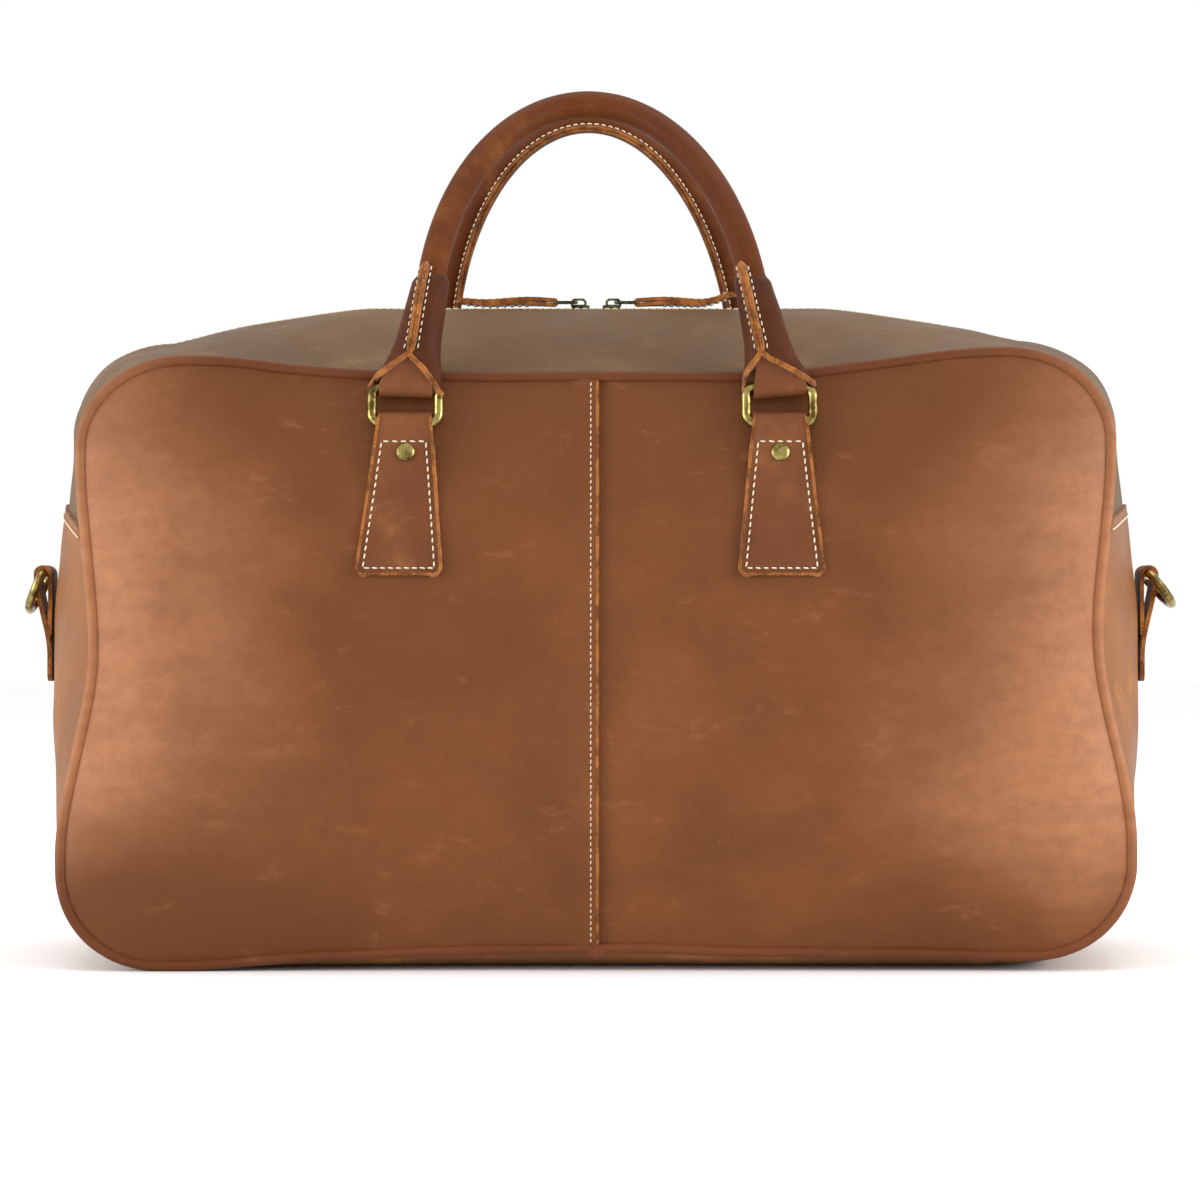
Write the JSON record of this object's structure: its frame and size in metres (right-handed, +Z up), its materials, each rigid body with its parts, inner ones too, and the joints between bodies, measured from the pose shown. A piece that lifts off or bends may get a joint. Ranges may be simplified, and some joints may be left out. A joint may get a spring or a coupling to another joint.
{
  "type": "duffel bag",
  "caption": "Leather holdall with a zip band over the top, rolled handles on metal rings and a D-ring on each side.",
  "frame": {"origin": "middle of the base, on the surface that the bag stands on", "axes": "+X along the zip to the right of someone facing the front, +Y from the front to the rear, +Z up"},
  "size_m": [0.5862, 0.2504, 0.4319],
  "materials": {
    "leather_panel": "waxed pull-up leather, satin, with rubbed patches",
    "leather_gusset": "waxed pull-up leather, satin, lighter",
    "leather_band": "waxed pull-up leather, satin, dusty",
    "leather_handle": "waxed leather, satin, raw orange edges",
    "leather_tab": "waxed leather, satin, raw orange edges",
    "leather_piping": "waxed leather, satin",
    "leather_puller": "waxed leather with raw edges",
    "lining_cloth": "plain woven cotton",
    "board_fibre": "pressed fibre board",
    "core_cord": "twisted cotton cord",
    "tape_cloth": "woven zip tape",
    "zip_brass": "dark antique brass",
    "antique_brass": "satin antique brass"
  },
  "bodies": {
    "root": {"base_gusset": "leather_gusset", "base_board": "board_fibre", "lining": "lining_cloth", "piping_front": "leather_piping", "piping_rear": "leather_piping", "front_panel_left": "leather_panel", "front_panel_right": "leather_panel", "back_panel_left": "leather_panel", "back_panel_right": "leather_panel", "side_gusset_left": "leather_gusset", "side_gusset_right": "leather_gusset", "zip_band_end_front_left": "leather_band", "zip_band_end_front_right": "leather_band", "zip_band_end_rear_left": "leather_band", "zip_band_end_rear_right": "leather_band", "zip_tape_end_left": "tape_cloth", "zip_tape_end_right": "tape_cloth", "zip_teeth_end_left": "zip_brass", "zip_teeth_end_right": "zip_brass", "handle_tab_front_left": "leather_tab", "handle_tab_front_right": "leather_tab", "handle_tab_rear_left": "leather_tab", "handle_tab_rear_right": "leather_tab", "rivet_front_left": "antique_brass", "rivet_front_right": "antique_brass", "rivet_rear_left": "antique_brass", "rivet_rear_right": "antique_brass", "side_chape_left": "leather_tab", "side_chape_right": "leather_tab"},
    "mouth_front": {"zip_band_front": "leather_band", "band_lining_front": "lining_cloth", "zip_tape_front": "tape_cloth", "zip_teeth_front": "zip_brass"},
    "mouth_rear": {"zip_band_rear": "leather_band", "band_lining_rear": "lining_cloth", "zip_tape_rear": "tape_cloth", "zip_teeth_rear": "zip_brass"},
    "slider_left": {"slider_left": "zip_brass"},
    "puller_left": {"pull_link_left": "zip_brass", "puller_left": "leather_puller"},
    "d_ring_left": {"d_ring_left": "antique_brass"},
    "slider_right": {"slider_right": "zip_brass"},
    "puller_right": {"pull_link_right": "zip_brass", "puller_right": "leather_puller"},
    "d_ring_right": {"d_ring_right": "antique_brass"},
    "ring_front_left": {"ring_front_left": "antique_brass"},
    "ring_front_right": {"ring_front_right": "antique_brass"},
    "handle_front": {"handle_tube_front": "leather_handle", "handle_core_front": "core_cord", "handle_wrap_front_left": "leather_handle", "handle_wrap_front_right": "leather_handle"},
    "ring_rear_left": {"ring_rear_left": "antique_brass"},
    "ring_rear_right": {"ring_rear_right": "antique_brass"},
    "handle_rear": {"handle_tube_rear": "leather_handle", "handle_core_rear": "core_cord", "handle_wrap_rear_left": "leather_handle", "handle_wrap_rear_right": "leather_handle"}
  },
  "joints": [
    {"name": "mouth_front_open", "type": "hinge", "parent": "root", "child": "mouth_front", "pos_m": [0, -0.105, 0.2935], "axis": [1, 0, 0], "range_deg": [0, 30], "deforming": ["zip_tape_front", "zip_teeth_front"]},
    {"name": "mouth_rear_open", "type": "hinge", "parent": "root", "child": "mouth_rear", "pos_m": [0, 0.105, 0.2935], "axis": [-1, 0, 0], "range_deg": [0, 30], "deforming": ["zip_tape_rear", "zip_teeth_rear"]},
    {"name": "zip_left_run", "type": "hinge", "parent": "root", "child": "slider_left", "pos_m": [0, 0, -1.1233], "axis": [0, -1, 0], "range_deg": [0, 7.08]},
    {"name": "puller_left_swing", "type": "hinge", "parent": "slider_left", "child": "puller_left", "pos_m": [-0.0098, 0, 0.329], "axis": [0, 1, 0], "range_deg": [0, 110]},
    {"name": "d_ring_left_swing", "type": "hinge", "parent": "root", "child": "d_ring_left", "pos_m": [-0.2802, 0, 0.191], "axis": [0, 1, 0], "range_deg": [0, 110]},
    {"name": "zip_right_run", "type": "hinge", "parent": "root", "child": "slider_right", "pos_m": [0, 0, -1.1233], "axis": [0, 1, 0], "range_deg": [0, 7.08]},
    {"name": "puller_right_swing", "type": "hinge", "parent": "slider_right", "child": "puller_right", "pos_m": [0.0098, 0, 0.329], "axis": [0, -1, 0], "range_deg": [0, 110]},
    {"name": "d_ring_right_swing", "type": "hinge", "parent": "root", "child": "d_ring_right", "pos_m": [0.2802, 0, 0.191], "axis": [0, -1, 0], "range_deg": [0, 110]},
    {"name": "ring_front_left_swing", "type": "hinge", "parent": "root", "child": "ring_front_left", "pos_m": [-0.0895, -0.1175, 0.2626], "axis": [1, 0, 0], "range_deg": [0, 110]},
    {"name": "ring_front_right_swing", "type": "hinge", "parent": "root", "child": "ring_front_right", "pos_m": [0.0895, -0.1175, 0.2626], "axis": [1, 0, 0], "range_deg": [0, 110]},
    {"name": "handle_front_fold", "type": "hinge", "parent": "ring_front_left", "child": "handle_front", "pos_m": [-0.0895, -0.114, 0.2796], "axis": [1, 0, 0], "range_deg": [0, 60]},
    {"name": "ring_rear_left_swing", "type": "hinge", "parent": "root", "child": "ring_rear_left", "pos_m": [-0.0895, 0.1175, 0.2626], "axis": [-1, 0, 0], "range_deg": [0, 110]},
    {"name": "ring_rear_right_swing", "type": "hinge", "parent": "root", "child": "ring_rear_right", "pos_m": [0.0895, 0.1175, 0.2626], "axis": [-1, 0, 0], "range_deg": [0, 110]},
    {"name": "handle_rear_fold", "type": "hinge", "parent": "ring_rear_left", "child": "handle_rear", "pos_m": [-0.0895, 0.114, 0.2796], "axis": [-1, 0, 0], "range_deg": [0, 60]}
  ],
  "couplings": [
    {"joint": "mouth_rear_open", "follows": "mouth_front_open", "ratio": 1},
    {"joint": "zip_left_run", "follows": "mouth_front_open", "ratio": 0.2354},
    {"joint": "zip_right_run", "follows": "mouth_front_open", "ratio": 0.2354},
    {"joint": "ring_front_right_swing", "follows": "ring_front_left_swing", "ratio": 1},
    {"joint": "ring_rear_right_swing", "follows": "ring_rear_left_swing", "ratio": 1}
  ]
}
